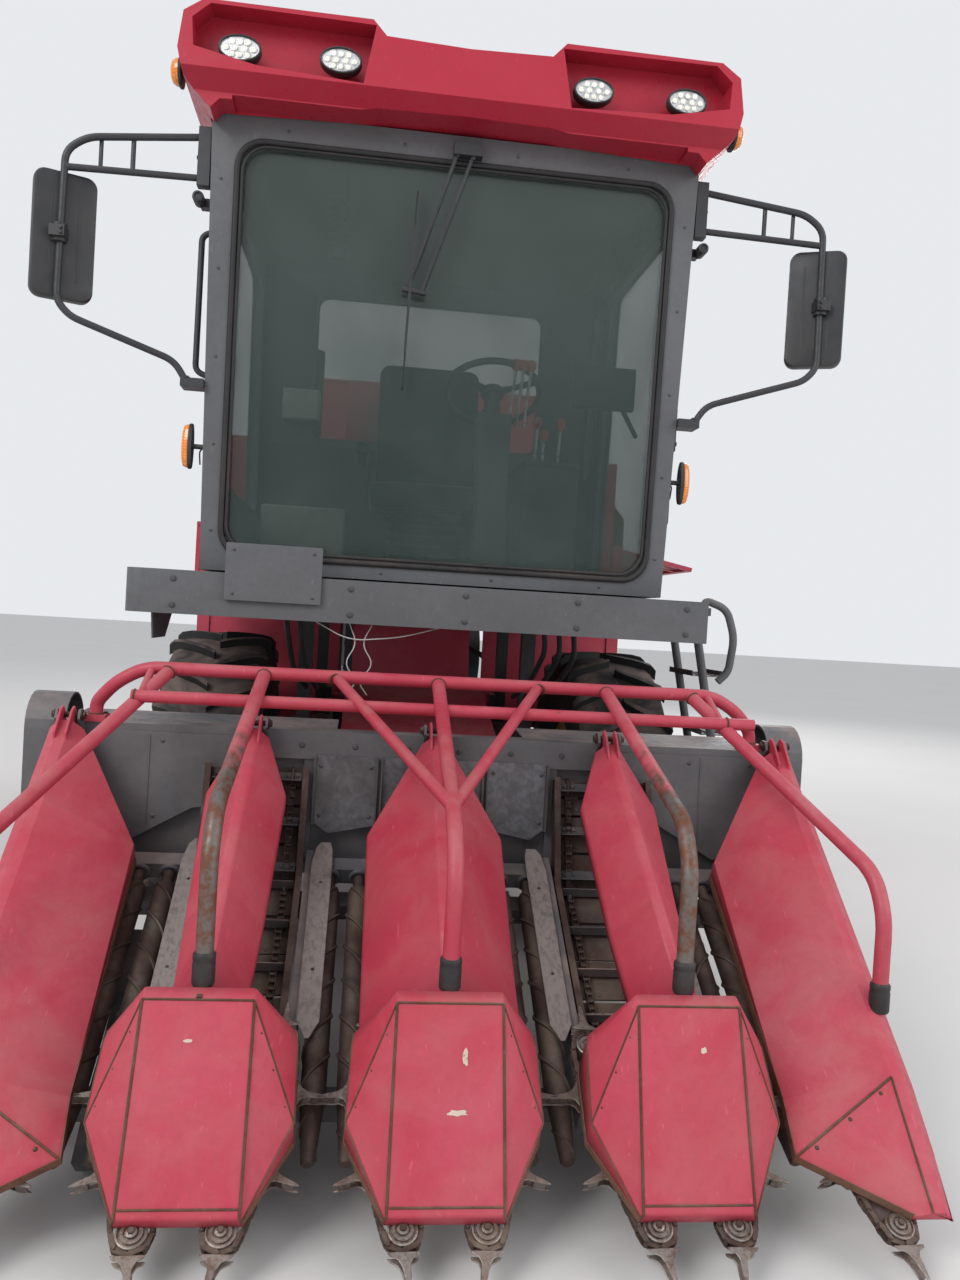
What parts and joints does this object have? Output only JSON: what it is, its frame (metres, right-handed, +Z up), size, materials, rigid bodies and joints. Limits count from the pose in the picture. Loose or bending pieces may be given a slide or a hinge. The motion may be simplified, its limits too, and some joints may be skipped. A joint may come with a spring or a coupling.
{
  "type": "corn combine harvester",
  "caption": "Self-propelled ear-snapping corn combine with a lifting row header, glazed cab, husker, side-tipping ear tank and underslung stalk chopper.",
  "frame": {"origin": "on the ground, midway along the machine and on its centre plane", "axes": "+Z up, -Y the machine's front, +X its left-hand side"},
  "size_m": [2.9056, 7.7612, 3.45],
  "materials": {
    "red_paint": "faded gloss",
    "grey_paint": "satin",
    "bare_steel": "worn",
    "yellow_paint": "gloss",
    "tyre": "matte",
    "tinted_glass": "clear tint",
    "black_plastic": "matte",
    "lamp_lens": "clear",
    "seat_cloth": "woven",
    "cast": "painted",
    "chrome_rod": "polished"
  },
  "bodies": {
    "machine": {"chassis_frame": "grey_paint", "front_axle": "grey_paint", "rear_axle": "grey_paint", "engine": "cast", "radiator": "black_plastic", "fuel_tank": "black_plastic", "platform": "grey_paint", "ladder": "grey_paint", "cab_frame": "grey_paint", "cab_glass": "tinted_glass", "cab_roof": "red_paint", "cab_seat": "seat_cloth", "steering_console": "black_plastic", "wipers": "black_plastic", "mirrors": "black_plastic", "lamps": "lamp_lens", "body_panels": "red_paint", "ear_elevator": "red_paint", "husker": "red_paint", "exhaust": "bare_steel"},
    "header": {"header_frame": "grey_paint", "outer_snouts": "red_paint", "inner_snouts": "red_paint", "gathering_chains": "bare_steel", "row_units": "grey_paint", "ear_conveyors": "bare_steel", "guard_rail": "red_paint", "feeder_house": "red_paint"},
    "auger": {"cross_auger": "bare_steel"},
    "lift_barrel": {"lift_barrels": "grey_paint"},
    "lift_rod": {"lift_rods": "chrome_rod"},
    "front_wheel_left": {"front_tyre_left": "tyre", "front_rim_left": "yellow_paint"},
    "front_wheel_right": {"front_tyre_right": "tyre", "front_rim_right": "yellow_paint"},
    "steer_knuckle_left": {"knuckle_left": "grey_paint"},
    "steer_knuckle_right": {"knuckle_right": "grey_paint"},
    "track_rod": {"tie_rod": "grey_paint"},
    "rear_wheel_left": {"rear_tyre_left": "tyre", "rear_rim_left": "yellow_paint"},
    "rear_wheel_right": {"rear_tyre_right": "tyre", "rear_rim_right": "yellow_paint"},
    "door": {"door_frame": "grey_paint", "door_glass": "tinted_glass"},
    "left_cover": {"cover_left": "red_paint"},
    "right_cover": {"cover_right": "red_paint"},
    "tank": {"ear_tank": "red_paint"},
    "tank_barrel": {"tank_barrels": "grey_paint"},
    "tank_rod": {"tank_rods": "chrome_rod"},
    "chopper": {"chopper_housing": "red_paint"},
    "chopper_shaft": {"chopper_rotor": "bare_steel"},
    "row_roll_1": {"roll_1": "bare_steel"},
    "row_roll_2": {"roll_2": "bare_steel"},
    "row_roll_3": {"roll_3": "bare_steel"},
    "row_roll_4": {"roll_4": "bare_steel"},
    "row_roll_5": {"roll_5": "bare_steel"},
    "row_roll_6": {"roll_6": "bare_steel"},
    "row_roll_7": {"roll_7": "bare_steel"},
    "row_roll_8": {"roll_8": "bare_steel"}
  },
  "joints": [
    {"name": "front_wheel_left_spin", "type": "hinge", "parent": "machine", "child": "front_wheel_left", "pos_m": [0.86, -1.29, 0.66], "axis": [1, 0, 0], "continuous": true},
    {"name": "front_wheel_right_spin", "type": "hinge", "parent": "machine", "child": "front_wheel_right", "pos_m": [-0.86, -1.29, 0.66], "axis": [1, 0, 0], "continuous": true},
    {"name": "steer_left", "type": "hinge", "parent": "machine", "child": "steer_knuckle_left", "pos_m": [0.69, 1.9, 0.43], "axis": [0, 0, 1], "range_deg": [-28, 28]},
    {"name": "steer_right", "type": "hinge", "parent": "machine", "child": "steer_knuckle_right", "pos_m": [-0.69, 1.9, 0.43], "axis": [0, 0, 1], "range_deg": [-28, 28]},
    {"name": "tie_rod_slide", "type": "slide", "parent": "machine", "child": "track_rod", "axis": [1, 0, 0], "range_m": [-0.075, 0.075]},
    {"name": "rear_wheel_left_spin", "type": "hinge", "parent": "steer_knuckle_left", "child": "rear_wheel_left", "pos_m": [0.88, 1.9, 0.43], "axis": [1, 0, 0], "continuous": true},
    {"name": "rear_wheel_right_spin", "type": "hinge", "parent": "steer_knuckle_right", "child": "rear_wheel_right", "pos_m": [-0.88, 1.9, 0.43], "axis": [1, 0, 0], "continuous": true},
    {"name": "header_lift", "type": "hinge", "parent": "machine", "child": "header", "pos_m": [0, -0.93, 1.01], "axis": [-1, 0, 0], "range_deg": [0, 10]},
    {"name": "lift_barrel_swing", "type": "hinge", "parent": "machine", "child": "lift_barrel", "pos_m": [0, -1.01, 0.47], "axis": [-1, 0, 0], "range_deg": [0, 11]},
    {"name": "lift_rod_slide", "type": "slide", "parent": "lift_barrel", "child": "lift_rod", "axis": [0, -0.9995, 0.031], "range_m": [0, 0.11]},
    {"name": "auger_spin", "type": "hinge", "parent": "header", "child": "auger", "pos_m": [0, -2.32, 0.725], "axis": [1, 0, 0], "continuous": true},
    {"name": "roll_1_spin", "type": "hinge", "parent": "header", "child": "row_roll_1", "pos_m": [-0.887, -3.57646, 0.14513], "axis": [0, 0.866, 0.5], "continuous": true},
    {"name": "roll_2_spin", "type": "hinge", "parent": "header", "child": "row_roll_2", "pos_m": [-0.797, -3.57646, 0.14513], "axis": [0, 0.866, 0.5], "continuous": true},
    {"name": "roll_3_spin", "type": "hinge", "parent": "header", "child": "row_roll_3", "pos_m": [-0.31, -3.57646, 0.14513], "axis": [0, 0.866, 0.5], "continuous": true},
    {"name": "roll_4_spin", "type": "hinge", "parent": "header", "child": "row_roll_4", "pos_m": [-0.22, -3.57646, 0.14513], "axis": [0, 0.866, 0.5], "continuous": true},
    {"name": "roll_5_spin", "type": "hinge", "parent": "header", "child": "row_roll_5", "pos_m": [0.22, -3.57646, 0.14513], "axis": [0, 0.866, 0.5], "continuous": true},
    {"name": "roll_6_spin", "type": "hinge", "parent": "header", "child": "row_roll_6", "pos_m": [0.31, -3.57646, 0.14513], "axis": [0, 0.866, 0.5], "continuous": true},
    {"name": "roll_7_spin", "type": "hinge", "parent": "header", "child": "row_roll_7", "pos_m": [0.797, -3.57646, 0.14513], "axis": [0, 0.866, 0.5], "continuous": true},
    {"name": "roll_8_spin", "type": "hinge", "parent": "header", "child": "row_roll_8", "pos_m": [0.887, -3.57646, 0.14513], "axis": [0, 0.866, 0.5], "continuous": true},
    {"name": "door_swing", "type": "hinge", "parent": "machine", "child": "door", "pos_m": [0.866, -1.176, 2.3], "axis": [0, 0, 1], "range_deg": [0, 80]},
    {"name": "cover_left_swing", "type": "hinge", "parent": "machine", "child": "left_cover", "pos_m": [1.107, 0.32, 1.842], "axis": [0, 1, 0], "range_deg": [0, 79]},
    {"name": "cover_right_swing", "type": "hinge", "parent": "machine", "child": "right_cover", "pos_m": [-1.107, 0.32, 1.842], "axis": [0, 1, 0], "range_deg": [0, 79]},
    {"name": "tank_tip", "type": "hinge", "parent": "machine", "child": "tank", "pos_m": [1.09, 2.44, 1.73], "axis": [0, 1, 0], "range_deg": [0, 40]},
    {"name": "tank_barrel_swing", "type": "hinge", "parent": "machine", "child": "tank_barrel", "pos_m": [0.18, 2.44, 0.87], "axis": [0, 1, 0], "range_deg": [0, 33]},
    {"name": "tank_rod_slide", "type": "slide", "parent": "tank_barrel", "child": "tank_rod", "axis": [-0.6722, 0, 0.7404], "range_m": [0, 0.85]},
    {"name": "chopper_lift", "type": "hinge", "parent": "machine", "child": "chopper", "pos_m": [0, -0.42, 0.7], "axis": [1, 0, 0], "range_deg": [0, 10]},
    {"name": "chopper_rotor_spin", "type": "hinge", "parent": "chopper", "child": "chopper_shaft", "pos_m": [0, 0.42, 0.345], "axis": [1, 0, 0], "continuous": true}
  ],
  "couplings": [
    {"joint": "steer_right", "follows": "steer_left", "ratio": 1},
    {"joint": "tie_rod_slide", "follows": "steer_left", "m_per_rad": 0.14},
    {"joint": "lift_barrel_swing", "follows": "header_lift", "ratio": 1.01},
    {"joint": "lift_rod_slide", "follows": "header_lift", "m_per_rad": 0.546},
    {"joint": "tank_barrel_swing", "follows": "tank_tip", "ratio": 0.78},
    {"joint": "tank_rod_slide", "follows": "tank_tip", "m_per_rad": 1.19},
    {"joint": "roll_2_spin", "follows": "roll_1_spin", "ratio": -1},
    {"joint": "roll_3_spin", "follows": "roll_1_spin", "ratio": 1},
    {"joint": "roll_4_spin", "follows": "roll_1_spin", "ratio": -1},
    {"joint": "roll_5_spin", "follows": "roll_1_spin", "ratio": 1},
    {"joint": "roll_6_spin", "follows": "roll_1_spin", "ratio": -1},
    {"joint": "roll_7_spin", "follows": "roll_1_spin", "ratio": 1},
    {"joint": "roll_8_spin", "follows": "roll_1_spin", "ratio": -1}
  ]
}
